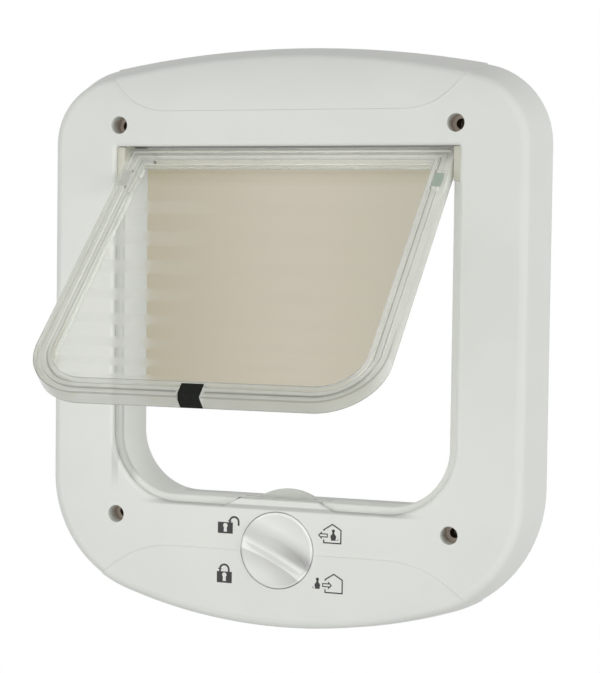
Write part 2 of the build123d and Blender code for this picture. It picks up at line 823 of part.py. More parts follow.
# Flap: a clear panel with a ridged rim, plain blocks round the plugs and magnet, and hinge pin bores
with BuildPart() as flap_panel:
    flap_outline = passage(flap_half, flap_rail_rise, flap_length, flap_corner_radius, flap_top_corner_radius)
    with BuildSketch(flap_plane):
        add(flap_outline)
    extrude(amount=panel_thickness / 2, both=True)
    with BuildSketch(flap_plane):
        add(flap_outline)
        add(grown(flap_outline, -rim_width), mode=Mode.SUBTRACT)
    extrude(amount=rim_thickness / 2, both=True)
    for side in (-1, 1):
        with BuildSketch(flap_plane.offset(side * rim_thickness / 2)):
            for groove in range(ridge_count - 1):
                inset = ridge_width + groove * (ridge_width + groove_width)
                add(grown(flap_outline, -inset))
                add(grown(flap_outline, -inset - groove_width), mode=Mode.SUBTRACT)
        extrude(amount=-side * groove_depth, mode=Mode.SUBTRACT)
    with BuildSketch(flap_plane):
        with Locations(*plug_places):
            Rectangle(plug_width + 2 * plug_wall, plug_height + 2 * plug_wall)
        with Locations((0, -flap_length)):
            Rectangle(
                flap_magnet_width + 2 * magnet_holder_margin, rim_width, align=(Align.CENTER, Align.MIN)
            )
    extrude(amount=rim_thickness / 2, both=True)
    with BuildSketch(flap_plane.offset(rim_thickness / 2)):
        with Locations(*plug_places):
            Rectangle(plug_width, plug_height)
    extrude(amount=-plug_depth, mode=Mode.SUBTRACT)
    with BuildSketch(flap_plane):
        with Locations((0, -flap_length)):
            Rectangle(
                flap_magnet_width + 2 * pocket_fit,
                flap_magnet_height + pocket_fit,
                align=(Align.CENTER, Align.MIN),
            )
    extrude(amount=rim_thickness, both=True, mode=Mode.SUBTRACT)
    for side in (-1, 1):
        with BuildSketch(Plane.YZ.offset(side * flap_half)):
            with Locations((hinge_y, hinge_z)):
                Circle(pin_radius + pin_seat_fit)
        extrude(amount=-side * pin_grip, mode=Mode.SUBTRACT)
    flap_panel.part.label = "flap_panel"
export_step(flap_panel.part, "parts/flap_panel.step")

# Flap magnet in the notch at the middle of the lower edge, with a bevelled front lower corner
with BuildPart() as flap_magnet:
    with BuildSketch(flap_plane):
        with Locations((0, -flap_length)):
            Rectangle(flap_magnet_width, flap_magnet_height, align=(Align.CENTER, Align.MIN))
    extrude(amount=rim_thickness / 2, both=True)
    front_face = flap_magnet.faces().sort_by(Axis(flap_plane.origin, flap_plane.z_dir))[-1]
    chamfer(front_face.edges().filter_by(Axis.X).sort_by(Axis.Z)[0], flap_magnet_bevel)
    flap_magnet.part.label = "flap_magnet"
export_step(flap_magnet.part, "parts/flap_magnet.step")

# Hinge pins, fixed in the flap and turning in the hinge blocks, and the plugs that close the corner pockets
for side, name in ((-1, "left"), (1, "right")):
    with BuildPart() as hinge_pin:
        with BuildSketch(Plane.YZ.offset(side * (flap_half - pin_grip))):
            with Locations((hinge_y, hinge_z)):
                Circle(pin_radius)
        extrude(amount=side * (pin_grip + pin_reach))
        hinge_pin.part.label = f"hinge_pin_{name}"
    export_step(hinge_pin.part, f"parts/hinge_pin_{name}.step")

    with BuildPart() as corner_plug:
        with BuildSketch(flap_plane.offset(rim_thickness / 2 - plug_depth)):
            with Locations((side * (flap_half - plug_inset), -plug_below_hinge)):
                Rectangle(plug_width - 2 * pocket_fit, plug_height - 2 * pocket_fit)
        extrude(amount=plug_depth - plug_recess)
        corner_plug.part.label = f"corner_plug_{name}"
    export_step(corner_plug.part, f"parts/corner_plug_{name}.step")
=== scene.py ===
"""Looks of a four-way locking cat flap: a white moulded frame, a clear flap that stands open and a knob."""

import json
import math

import bmesh
import bpy
from mathutils import Matrix, Vector


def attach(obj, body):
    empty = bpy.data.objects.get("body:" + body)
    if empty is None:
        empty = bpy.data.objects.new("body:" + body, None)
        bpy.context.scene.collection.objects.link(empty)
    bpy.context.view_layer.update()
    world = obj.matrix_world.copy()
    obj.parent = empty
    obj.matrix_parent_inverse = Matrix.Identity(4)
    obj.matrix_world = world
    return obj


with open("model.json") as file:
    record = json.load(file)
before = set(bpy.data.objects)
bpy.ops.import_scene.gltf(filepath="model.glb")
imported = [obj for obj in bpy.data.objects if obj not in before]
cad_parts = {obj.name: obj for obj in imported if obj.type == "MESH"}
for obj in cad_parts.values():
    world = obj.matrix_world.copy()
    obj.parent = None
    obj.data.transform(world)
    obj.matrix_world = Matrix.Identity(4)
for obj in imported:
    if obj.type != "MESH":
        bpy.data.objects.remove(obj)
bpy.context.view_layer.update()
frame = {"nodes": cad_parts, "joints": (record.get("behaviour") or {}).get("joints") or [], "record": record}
scene = bpy.context.scene

MM = 0.001
UPRIGHT = Matrix.Rotation(math.radians(90), 4, "X")

# Places taken from the frame, in mm
joint_places = {joint["name"]: Vector(joint["pos_m"]) / MM for joint in frame["joints"]}
hinge = joint_places["flap_swing"]
knob_middle = joint_places["knob_turn"]
screws = next(mount["dims"] for mount in frame["record"]["mounts"] if mount["name"] == "door_screws")
hole_x = screws["spacing_x_mm"] / 2
hole_z = screws["spacing_y_mm"] / 2


# Shader values and the nodes of a finish


class Value:
    """A number that varies over a surface; arithmetic on it adds Math nodes."""

    def __init__(self, tree, socket):
        self.tree = tree
        self.socket = socket

    def beside(self, name):
        """Another output of the node that this value comes from."""
        return Value(self.tree, self.socket.node.outputs[name])

    def math(self, operation, *terms):
        node = self.tree.nodes.new("ShaderNodeMath")
        node.operation = operation
        for place, term in zip(node.inputs, terms):
            feed(self.tree, place, term)
        return Value(self.tree, node.outputs[0])

    def __add__(self, other):
        return self.math("ADD", self, other)

    def __radd__(self, other):
        return self.math("ADD", other, self)

    def __sub__(self, other):
        return self.math("SUBTRACT", self, other)

    def __rsub__(self, other):
        return self.math("SUBTRACT", other, self)

    def __mul__(self, other):
        return self.math("MULTIPLY", self, other)

    def __truediv__(self, other):
        return self.math("DIVIDE", self, other)

    def __pow__(self, other):
        return self.math("POWER", self, other)

    def __neg__(self):
        return self.math("MULTIPLY", self, -1.0)

    def __abs__(self):
        return self.math("ABSOLUTE", self)

    def __or__(self, other):
        return self.math("MAXIMUM", self, other)

    def __and__(self, other):
        return self.math("MINIMUM", self, other)


def feed(tree, socket, term):
    """Links a value to a socket, or sets the socket to a plain number, colour or vector."""
    if isinstance(term, Value):
        tree.links.new(term.socket, socket)
    elif hasattr(socket.default_value, "__len__"):
        size = len(socket.default_value)
        socket.default_value = (tuple(term) + (1.0,))[:size]
    else:
        socket.default_value = term


# Range of a noise over which a tint goes from one colour to the other, and the noise's mean
NOISE_MIDDLE = (0.35, 0.65)
NOISE_MEAN = 0.5

# Radius that rounds the light on sharp edges, in m
SOFT_EDGE = 0.25 * MM


class Nodes:
    """The node tree of a finish or of the world."""

    def __init__(self, tree):
        self.tree = tree
        tree.nodes.clear()

    def node(self, kind, settings=None, sockets=None, out=0):
        """Adds a node: its settings first, then the values or links of its sockets; gives one output."""
        node = self.tree.nodes.new(kind)
        for name, setting in (settings or {}).items():
            setattr(node, name, setting)
        for name, term in (sockets or {}).items():
            feed(self.tree, node.inputs[name], term)
        return Value(self.tree, node.outputs[out]) if node.outputs else None

    def tint(self, mask, under, over):
        """Colour that goes from under to over as the mask rises."""
        return self.node("ShaderNodeMix", {"data_type": "RGBA"}, {0: mask, 6: under, 7: over}, out=2)

    def step(self, value, start, end):
        """Mask that rises smoothly from 0 at start to 1 at end."""
        return self.node("ShaderNodeMapRange", {"interpolation_type": "SMOOTHSTEP", "clamp": True},
                         {0: value, 1: start, 2: end, 3: 0.0, 4: 1.0})

    def fall(self, value, start, end):
        """Mask that falls smoothly from 1 at start to 0 at end."""
        return 1.0 - self.step(value, start, end)

    def band(self, value, start, full, fade, end):
        """Mask that rises from start to full and falls from fade to end."""
        return self.step(value, start, full) * self.fall(value, fade, end)

    def place(self):
        """Place on the piece, in the part's own frame."""
        return self.node("ShaderNodeTexCoord", out="Object")

    def axes(self, place):
        """The x, y and z of a place, in mm."""
        x = self.node("ShaderNodeSeparateXYZ", None, {"Vector": place}, out="X")
        return x / MM, x.beside("Y") / MM, x.beside("Z") / MM

    def noise(self, place, scale, detail):
        return self.node("ShaderNodeTexNoise", None, {"Vector": place, "Scale": scale, "Detail": detail})

    def soft_edges(self):
        return self.node("ShaderNodeBevel", {"samples": 4}, {"Radius": SOFT_EDGE})

    def bump(self, height, strength, distance, **under):
        """Fine relief over the surface; under may name the Normal that it lies on."""
        return self.node("ShaderNodeBump", None,
                         {"Strength": strength, "Distance": distance, "Height": height, **under})

    def principled(self, sockets):
        return self.node("ShaderNodeBsdfPrincipled", None, sockets)

    def finish(self, shader):
        self.node("ShaderNodeOutputMaterial", None, {"Surface": shader})


def new_finish(name):
    material = bpy.data.materials.new(name)
    material.use_nodes = True
    return material, Nodes(material.node_tree)


def shade(colour, factor):
    return tuple(c * factor for c in colour)


# Painted light and shade on the moulded plastics: darker tones where shade falls in holes, gaps and hollows,
# and lighter ones where light falls. Each function gives masks with their tones: a tone is a colour, or a
# factor on the plastic's own colour. Places are in mm: two numbers are the start and end of a ramp, and four
# are a band that rises between the first two and falls between the last two.

# Fixing holes, painted with shade: warm brown in the counterbore and dark brown deeper in the hole. Distance
# from the axis and depth of the counterbore and of the hole through its floor
COUNTERBORE_EDGE = (3.9, 4.2)
COUNTERBORE_DEPTH = (-15.0, -9.2)
COUNTERBORE_STRENGTH = 0.8
COUNTERBORE_SHADE_BROWN = (0.60, 0.50, 0.42)
THROUGH_EDGE = (2.4, 2.7)
THROUGH_DEPTH = (-9.0, -8.0)
THROUGH_SHADE_BROWN = (0.13, 0.085, 0.05)

# Painted shade on the lip on the left of the opening, and on the sill below it
LIP_LEFT = (75.0, 76.0, 78.2, 79.2)
LIP_ENDS = (62.0, 76.0)
LIP_PAINTED_SHADE = 0.82
SILL_BELOW = (77.4, 78.2, 79.0, 80.2)
SILL_ENDS = (50.0, 66.0)
SILL_PAINTED_SHADE = 0.66


def frame_painted_shade(make, at):
    """Painted shade in the fixing holes, on the lip beside the opening and on the sill."""
    x, y, z = at
    away_x = abs(x) - hole_x
    away_z = abs(z) - hole_z
    away = (away_x * away_x + away_z * away_z) ** 0.5
    # Painted shade: brown in the counterbore, darker brown where the hole runs on through its floor.
    counterbore = make.fall(away, *COUNTERBORE_EDGE) * make.step(y, *COUNTERBORE_DEPTH)
    through = make.fall(away, *THROUGH_EDGE) * make.step(y, *THROUGH_DEPTH)
    # Painted shade on the lip and on the sill.
    lip = make.band(-x, *LIP_LEFT) * make.fall(abs(z), *LIP_ENDS)
    sill = make.band(-z, *SILL_BELOW) * make.fall(abs(x), *SILL_ENDS)
    return ((counterbore * COUNTERBORE_STRENGTH, COUNTERBORE_SHADE_BROWN), (through, THROUGH_SHADE_BROWN),
            (lip, LIP_PAINTED_SHADE), (sill, SILL_PAINTED_SHADE))


# Gap above the hinge, painted as dark shade, which the blocks show at their front and the tunnel in its
# ceiling
GAP_HEIGHT = (75.8, 76.2, 76.9, 77.2)
GAP_STRENGTH = 0.95
GAP_SHADE_BROWN = (0.045, 0.037, 0.028)
BLOCK_FRONT = (-14.0, -12.5)
BLOCK_SIDE = (77.0, 78.0)


def block_painted_shade(make, at):
    """Painted shade of the hinge gap on the front of a hinge block."""
    x, y, z = at
    # Painted shade: the dark hinge gap across the block's front.
    gap = make.band(z, *GAP_HEIGHT) * make.fall(y, *BLOCK_FRONT) * make.fall(abs(x), *BLOCK_SIDE)
    return ((gap * GAP_STRENGTH, GAP_SHADE_BROWN),)


# Tunnel, painted with shade: its front edge on the left, its ceiling towards the rear and the rear half of
# its floor
TUNNEL_FRONT = (-13.2, -11.8)
TUNNEL_LEFT = (66.0, 71.0)
TUNNEL_FRONT_PAINTED_SHADE = 0.72
CEILING_REAR = (9.0, 12.0)
FLOOR_BELOW = (75.9, 76.5)
FLOOR_REAR = (-6.0, 1.0)
FLOOR_PAINTED_SHADE = 0.80


def tunnel_painted_shade(make, at):
    """Painted shade on the tunnel's front edge, in the hinge gap in its ceiling and on its floor behind the
    sill.
    """
    x, y, z = at
    # Painted shade on the front edge, in the ceiling's hinge gap and on the rear of the floor.
    front_edge = make.fall(y, *TUNNEL_FRONT) * make.step(-x, *TUNNEL_LEFT)
    gap = make.fall(y, *CEILING_REAR) * make.band(z, *GAP_HEIGHT)
    rear_floor = make.step(-z, *FLOOR_BELOW) * make.step(y, *FLOOR_REAR)
    return ((front_edge, TUNNEL_FRONT_PAINTED_SHADE), (gap * GAP_STRENGTH, GAP_SHADE_BROWN), (rear_floor, FLOOR_PAINTED_SHADE))


# Knob, painted with light and shade: the direction square to its grip as x and z, the grip's shift from the
# middle, and the stretches across the dish, from the foot below the grip to the rim above it
GRIP_TURN = math.radians(64.0)
GRIP_ACROSS = (math.cos(GRIP_TURN), math.sin(GRIP_TURN))
GRIP_OFFSET = 1.8
DISH_RIM = (6.5, 10.0)
DISH_DARK = (0.0, 1.6, 3.6, 7.6)
DISH_DARK_ALONG = (-6.0, 13.0)
DISH_DARK_LEAST = 0.40
DISH_PAINTED_SHADOW = 0.62
GRIP_FLANK = (-5.0, -4.4, -0.6, 0.4)
GRIP_FOOT = (-13.0, -5.0, -5.2, -4.6)
GRIP_FOOT_STRENGTH = 0.9
GRIP_FOOT_PAINTED_SHADE = 0.80
PAINTED_LIGHT_FACTOR = 1.13


def grip_painted_light(make, at):
    """Painted light on the rim and the grip's flank, painted shadow on the dark side of the dish and painted
    shade at the grip's foot.
    """
    x, _, z = at
    up = z - knob_middle.z
    over = x * GRIP_ACROSS[0] + up * GRIP_ACROSS[1] + GRIP_OFFSET
    along = x * GRIP_ACROSS[1] - up * GRIP_ACROSS[0]
    # Painted shadow across the dish beside the grip, growing along the grip.
    reach = DISH_DARK_LEAST + make.step(along, *DISH_DARK_ALONG) * (1.0 - DISH_DARK_LEAST)
    dark = make.band(over, *DISH_DARK) * reach
    foot = make.band(over, *GRIP_FOOT) * GRIP_FOOT_STRENGTH
    # Painted light on the rim and the flank, painted shade at the grip's foot.
    return ((make.step(over, *DISH_RIM), PAINTED_LIGHT_FACTOR), (dark, DISH_PAINTED_SHADOW),
            (make.band(over, *GRIP_FLANK), PAINTED_LIGHT_FACTOR), (foot, GRIP_FOOT_PAINTED_SHADE))


# Finishes

CLOUD_SHADE = 0.985
CLOUD_ROUGHNESS = 0.10
SPECK_RANGE = (0.70, 0.80)
SPECK_STRENGTH = 0.25
SPECK_SHADE = 0.93
SPECK_ROUGHNESS = 0.08


def moulded_plastic(name, colour, roughness, painted_light=None):
    """Injection-moulded plastic: flow clouds, a fine satin grain and edges that are never razor sharp."""
    material, make = new_finish(name)
    place = make.place()
    cloud = make.noise(place, scale=42.0, detail=2.0)
    speck = make.noise(place, scale=1900.0, detail=2.0)
    satin = make.noise(place, scale=3600.0, detail=1.0)
    body = make.tint(make.step(cloud, *NOISE_MIDDLE), shade(colour, CLOUD_SHADE), colour)
    body = make.tint(make.step(speck, *SPECK_RANGE) * SPECK_STRENGTH, body, shade(colour, SPECK_SHADE))
    # Painted light and shade: each mask lays a darker tone where shade falls, or a lighter one where light
    # falls.
    if painted_light:
        for mask, tone in painted_light(make, make.axes(place)):
            over = tone if isinstance(tone, tuple) else shade(colour, tone)
            body = make.tint(mask, body, over)
    skin = make.bump(satin, strength=0.05, distance=0.05 * MM, Normal=make.soft_edges())
    uneven = (cloud - NOISE_MEAN) * CLOUD_ROUGHNESS
    specked = (speck - NOISE_MEAN) * SPECK_ROUGHNESS
    make.finish(make.principled({
        "Base Color": body, "Roughness": roughness + uneven + specked,
        "IOR": 1.47, "Specular IOR Level": 0.16, "Normal": skin}))
    return material


# The flap as it stands open: its lean from the upright, then sizes in mm
FLAP_LEAN = math.radians(46.9)
FLAP_HALF = 74.5
FLAP_LENGTH = 142.6
FLAP_RISE = 3.2
FLAP_CORNER = 26.0
RIM_EDGE = (7.7, 8.1)

# Distances below the hinge, in mm, between which the flap panel is frosted, and how far across
FROST_BANDS = ((28.2, 36.3), (47.1, 56.0), (64.9, 72.7), (82.1, 88.5), (96.5, 102.4), (109.9, 115.1),
               (121.1, 124.9), (129.7, 133.5))
BAND_EDGE = 0.25
FROST_SIDE = (64.6, 65.2)
FROST_LEFT = (-46.0, -8.0)

# Lines moulded along the flap's rim, painted dark as shade: distance from the edge and width in mm, and how
# dark they look
RIM_LINES = ((1.8, 0.35, 0.3), (3.1, 0.35, 0.35), (5.7, 0.55, 0.85), (7.9, 0.3, 0.4))
OUTER_LINES = 4.0
LINE_SHADE_GREY = (0.25, 0.26, 0.22)

# Painted shade lines along the edges of the rim: the ramps of the foot's front line and of the back line,
# and their depth
FOOT_LINE_EDGE = (0.3, 0.7)
FOOT_LINE_OUT = (2.2, 2.7)
FOOT_LINE_DOWN = (96.0, 120.0)
BACK_LINE_OUT = (0.3, 0.6)
BACK_LINE_EDGE = (0.5, 1.0)
BELOW_RAIL = (6.0, 12.0)
EDGE_LINES_DEPTH = 0.7

# Rim colours with painted light and shade, lighter to the right along its sides and darker to the right
# along its foot, and where they change from left to right, on its sides and along its foot
RIM_SIDE_RUN = (-72.0, 40.0)
RIM_SIDE_PAINTED_LIGHT = ((0.77, 0.785, 0.735), (0.89, 0.905, 0.86))
RIM_FOOT_RUN = (-50.0, 20.0)
RIM_FOOT_PAINTED_SHADE = ((0.77, 0.78, 0.735), (0.68, 0.695, 0.635))
RIM_FOOT_START = (122.0, 134.0)
RIM_FLOW = 0.08
RIM_FLOW_GREY = (0.55, 0.56, 0.51)

# Dust on the clear panel, and how milky the rim, its lines, the frost and the frost's left part are
DUST_RANGE = (0.72, 0.80)
DUST_STRENGTH = 0.4
CLEAR_TONES = ((0.925, 0.930, 0.910), (0.87, 0.87, 0.85))
RIM_MILK = 0.55
LINE_MILK = 0.25
FROST_MILK = 0.008
FROST_LEFT_MILK = 0.050


def flap_frost(make, x, down):
    """Frosted bands, which get finer towards the lower rim."""
    frost = None
    for start, end in FROST_BANDS:
        middle, half = (start + end) / 2, (end - start) / 2
        stripe = make.fall(abs(down - middle), half - BAND_EDGE, half + BAND_EDGE)
        frost = frost | stripe if frost else stripe
    return frost * make.fall(abs(x), *FROST_SIDE)


def flap_shade_lines(make, down, out, from_edge):
    """Painted shade as dark lines on the rim: along its foot, along its back edge and in its moulded steps.
    """
    foot_line = make.fall(abs(from_edge), *FOOT_LINE_EDGE) * make.step(out, *FOOT_LINE_OUT)
    foot_line = foot_line * make.step(down, *FOOT_LINE_DOWN)
    back_line = make.fall(abs(out + FLAP_RISE), *BACK_LINE_OUT) * make.fall(from_edge, *BACK_LINE_EDGE)
    below_rail = make.step(down, *BELOW_RAIL)
    lines = (foot_line | back_line * below_rail) * EDGE_LINES_DEPTH
    for distance, width, depth in RIM_LINES:
        line = make.fall(abs(from_edge - distance), width / 2, width) * depth
        lines = lines | (line * below_rail if distance < OUTER_LINES else line)
    return lines


def clear_flap_plastic(name):
    """Clear moulded panel with frosted bands and a milky, stepped rim."""
    material, make = new_finish(name)
    place = make.place()
    x, y, z = make.axes(place)
    lean_sin, lean_cos = math.sin(FLAP_LEAN), math.cos(FLAP_LEAN)
    down = (hinge.y - y) * lean_sin + (hinge.z - z) * lean_cos
    out = (hinge.y - y) * lean_cos + (z - hinge.z) * lean_sin
    past_side = (abs(x) - (FLAP_HALF - FLAP_CORNER)) | 0.0
    past_end = (down - (FLAP_LENGTH - FLAP_CORNER)) | 0.0
    from_edge = (FLAP_CORNER - (past_side * past_side + past_end * past_end) ** 0.5) & (down + FLAP_RISE)
    rim = make.fall(from_edge, *RIM_EDGE)
    frost = flap_frost(make, x, down)
    lines = flap_shade_lines(make, down, out, from_edge)

    ripple = make.noise(place, scale=55.0, detail=1.0)
    dust = make.noise(place, scale=2400.0, detail=2.0)
    skin = make.bump(ripple, strength=0.12, distance=0.1 * MM)
    colour = make.tint(make.step(dust, *DUST_RANGE) * DUST_STRENGTH, *CLEAR_TONES)
    clear = make.principled({
        "Base Color": colour, "Roughness": 0.015 + frost * 0.13 + (dust - NOISE_MEAN) * 0.01,
        "IOR": 1.49, "Transmission Weight": 1.0, "Normal": skin})

    # Painted light and shade on the milky rim: lighter to the right along its sides, darker to the right
    # along its foot.
    side_painted_light = make.tint(make.step(x, *RIM_SIDE_RUN), *RIM_SIDE_PAINTED_LIGHT)
    foot_painted_shade = make.tint(make.step(x, *RIM_FOOT_RUN), *RIM_FOOT_PAINTED_SHADE)
    haze_and_painted_light = make.tint(make.step(down, *RIM_FOOT_START), side_painted_light, foot_painted_shade)
    haze_and_painted_light = make.tint(make.step(ripple, *NOISE_MIDDLE) * RIM_FLOW, haze_and_painted_light, RIM_FLOW_GREY)
    # Painted shade: dark lines at the rim's moulded steps and edges.
    haze_and_painted_light = make.tint(lines, haze_and_painted_light, LINE_SHADE_GREY)
    milky = make.principled({"Base Color": haze_and_painted_light, "Roughness": 0.30, "Normal": skin})

    rim_share = rim * (RIM_MILK + lines * LINE_MILK)
    frost_share = frost * (FROST_MILK + make.fall(x, *FROST_LEFT) * FROST_LEFT_MILK)
    make.finish(make.node("ShaderNodeMixShader", None, {0: rim_share + frost_share, 1: clear, 2: milky}))
    return material


def magnet_black(name):
    """Sintered magnet under black lacquer, with dull specks and soft corners."""
    material, make = new_finish(name)
    fleck = make.noise(make.place(), scale=1500.0, detail=3.0)
    body = make.tint(make.step(fleck, 0.55, 0.75), (0.004, 0.005, 0.003), (0.016, 0.018, 0.012))
    skin = make.bump(fleck, strength=0.15, distance=0.05 * MM, Normal=make.soft_edges())
    make.finish(make.principled({
        "Base Color": body, "Roughness": 0.45 + fleck * 0.2, "Specular IOR Level": 0.12, "Normal": skin}))
    return material


def plated_steel(name):
    """Zinc-plated steel with a fine grain."""
    material, make = new_finish(name)
    place = make.place()
    cloud = make.noise(place, scale=600.0, detail=3.0)
    marks = make.noise(place, scale=2500.0, detail=2.0)
    body = make.tint(make.step(cloud, *NOISE_MIDDLE), (0.50, 0.51, 0.52), (0.64, 0.645, 0.65))
    skin = make.bump(marks, strength=0.1, distance=0.04 * MM)
    make.finish(make.principled({
        "Base Color": body, "Metallic": 1.0, "Roughness": 0.24 + cloud * 0.2, "Normal": skin}))
    return material


def printed_ink(name):
    """Pad-printed black ink, a little thin in places."""
    material, make = new_finish(name)
    thin = make.noise(make.place(), scale=1800.0, detail=2.0)
    body = make.tint(make.step(thin, 0.6, 0.8), (0.010, 0.008, 0.008), (0.035, 0.028, 0.028))
    make.finish(make.principled({"Base Color": body, "Roughness": 0.42 + thin * 0.2}))
    return material


def dress(finish, *names):
    for name in names:
        for slot in frame["nodes"][name].material_slots:
            slot.material = finish


# Liner and rear disc: the frame's white plastic with painted shade, the liner a little darker, the disc much
# darker.
frame_white = moulded_plastic("frame_white", (0.770, 0.785, 0.745), 0.42, frame_painted_shade)
liner_white_shaded = moulded_plastic("liner_white_shaded", (0.740, 0.755, 0.710), 0.45, tunnel_painted_shade)
knob_white = moulded_plastic("knob_white", (0.775, 0.785, 0.755), 0.36, grip_painted_light)
disc_white_shaded = moulded_plastic("disc_white_shaded", (0.665, 0.680, 0.640), 0.45)
block_grey = moulded_plastic("block_grey", (0.65, 0.645, 0.555), 0.50, block_painted_shade)
plug_grey = moulded_plastic("plug_grey", (0.44, 0.51, 0.44), 0.45)
plug_pale = moulded_plastic("plug_pale", (0.62, 0.63, 0.58), 0.45)
flap_clear = clear_flap_plastic("flap_clear")
magnet_lacquer = magnet_black("magnet_lacquer")
screw_steel = plated_steel("screw_steel")
mark_ink = printed_ink("mark_ink")

dress(frame_white, "front_frame")
dress(liner_white_shaded, "tunnel_liner", "magnet_cap", "lock_cover")
dress(knob_white, "lock_knob")
dress(disc_white_shaded, "rear_lock_disc")
dress(block_grey, "hinge_block_left", "hinge_block_right")
dress(plug_pale, "corner_plug_left")
dress(plug_grey, "corner_plug_right")
dress(flap_clear, "flap_panel")
dress(magnet_lacquer, "flap_magnet", "frame_magnet")
dress(screw_steel, "liner_screws", "hinge_block_screws", "lock_cover_screws", "knob_screw", "knob_washer",
      "detent_spring", "hinge_pin_left", "hinge_pin_right")


# Setting marks round the knob, in mm on the front face, x to the right and z up

MITRE_LIMIT = 0.35


def arc(centre, radius, start, end, count=14):
    """Points on an arc, angles in degrees from +x towards +z."""
    angles = [math.radians(start + (end - start) * i / count) for i in range(count + 1)]
    return [(centre[0] + radius * math.cos(a), centre[1] + radius * math.sin(a)) for a in angles]


def ribbon(points, width):
    """Outline of a drawn line: its left side out and its right side back, with mitred corners."""
    sides = ([], [])
    for i, point in enumerate(points):
        here = Vector(point)
        into = (here - Vector(points[i - 1])).normalized() if i else None
        away = (Vector(points[i + 1]) - here).normalized() if i + 1 < len(points) else None
        run = ((into or away) + (away or into)).normalized()
        reach = width / 2 / max(run.dot(into or away), MITRE_LIMIT)
        normal = Vector((-run.y, run.x))
        sides[0].append(tuple(here + normal * reach))
        sides[1].append(tuple(here - normal * reach))
    return sides[0] + sides[1][::-1]


# A padlock's body, and its bow: the bow's middle from the body's corner, and the height of its right end
PADLOCK_WIDTH = 7.0
PADLOCK_HEIGHT = 4.9
KEYHOLE_HEIGHT = 3.45
KEYHOLE_RADIUS = 1.05
KEYHOLE_FOOT = ((2.75, 0.75), (4.25, 0.75))
BOW_RADIUS = 2.05
BOW_WIDTH = 0.85
BOW_FOOT = 4.8
CLOSED_BOW = (3.5, 5.9, 4.8)
OPEN_BOW = (7.65, 5.3, 3.6)


def padlock(corner, bow_x, bow_z, end_z):
    """A padlock's body with its keyhole left bare, and its bow."""
    x, z = corner
    right, top = x + PADLOCK_WIDTH, z + PADLOCK_HEIGHT
    body = [(x, z), (right, z), (right, top), (x, top)]
    keyhole = arc((x + PADLOCK_WIDTH / 2, z + KEYHOLE_HEIGHT), KEYHOLE_RADIUS, -50, 230)
    keyhole += [(x + px, z + pz) for px, pz in KEYHOLE_FOOT]
    bow_left, bow_right = x + bow_x - BOW_RADIUS, x + bow_x + BOW_RADIUS
    bow = [(bow_left, z + BOW_FOOT), (bow_left, z + bow_z),
           *arc((x + bow_x, z + bow_z), BOW_RADIUS, 180, 0), (bow_right, z + end_z)]
    return [body, keyhole, ribbon(bow, BOW_WIDTH)]


TAIL = ((1.3, 0.1), (2.0, 0.3), (2.3, 1.0))
TAIL_WIDTH = 0.22


def animal(foot, tail_side):
    """A small sitting animal from behind: round head, pear-shaped body and a short tail."""
    x, z = foot
    right = [(x + 1.05, z), *arc((x, z + 1.5), 1.28, -35, 55, 6), (x + 0.42, z + 3.2)]
    head = arc((x, z + 4.1), 0.72, -45, 225, 10)
    left = [(2 * x - px, pz) for px, pz in reversed(right)]
    tail = [(x + tail_side * px, z + pz) for px, pz in TAIL]
    return [right + head + left, ribbon(tail, TAIL_WIDTH)]


# A house: its wall from the floor up to the gap for the arrow, round the roof and down to the gap again
HOUSE_GAP = (1.35, 5.0)
HOUSE_OUTLINE = ((0.0, HOUSE_GAP[0]), (0.0, 0.0), (7.7, 0.0), (7.7, 5.7), (3.85, 8.0), (0.0, 5.5),
                 (0.0, HOUSE_GAP[1]))
HOUSE_LINE = 0.55


def house(corner):
    """A house in outline, its left wall open where the arrow passes."""
    x, z = corner
    return [ribbon([(x + px, z + pz) for px, pz in HOUSE_OUTLINE], HOUSE_LINE)]


# Upper halves of the arrow's outer and inner edge, from its tip
ARROW_EDGES = (((0.0, 0.0), (-1.75, 1.75), (-1.75, 0.85), (-4.4, 0.85)),
               ((-0.70, 0.0), (-1.30, 0.62), (-1.30, 0.40), (-3.95, 0.40)))


def arrow(tip, way):
    """A hollow arrow; way is 1 to the right and -1 to the left."""
    x, z = tip
    loops = []
    for upper in ARROW_EDGES:
        lower = [(px, -pz) for px, pz in reversed(upper[1:])]
        loops.append([(x + way * px, z + pz) for px, pz in (*upper, *lower)])
    return loops


INK_HEIGHT = 0.03 * MM
IN_FRONT = -0.2
INTO_DOOR = Vector((0.0, 1.0, 0.0))


def print_mark(name, loops):
    """Ink in the shape of the loops, laid on the frame's front face; a loop inside another is left bare."""
    drawing = bpy.data.curves.new(name + "_drawing", "CURVE")
    drawing.dimensions = "2D"
    drawing.fill_mode = "BOTH"
    drawing.extrude = INK_HEIGHT
    for loop in loops:
        line = drawing.splines.new("POLY")
        line.points.add(len(loop) - 1)
        for point, (x, z) in zip(line.points, loop):
            point.co = (x * MM, z * MM, 0.0, 1.0)
        line.use_cyclic_u = True
    sketch = bpy.data.objects.new(name + "_sketch", drawing)
    mesh = bpy.data.meshes.new_from_object(sketch)
    mesh.name = name
    bpy.data.objects.remove(sketch)
    bpy.data.curves.remove(drawing)
    mesh.transform(UPRIGHT)
    mesh.materials.clear()
    mesh.materials.append(mark_ink)
    face = frame["nodes"]["front_frame"]
    for vertex in mesh.vertices:
        hit, where, _, _ = face.ray_cast(Vector((vertex.co.x, IN_FRONT, vertex.co.z)), INTO_DOOR)
        if hit:
            vertex.co.y += where.y
    piece = bpy.data.objects.new(name, mesh)
    scene.collection.objects.link(piece)
    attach(piece, "frame")


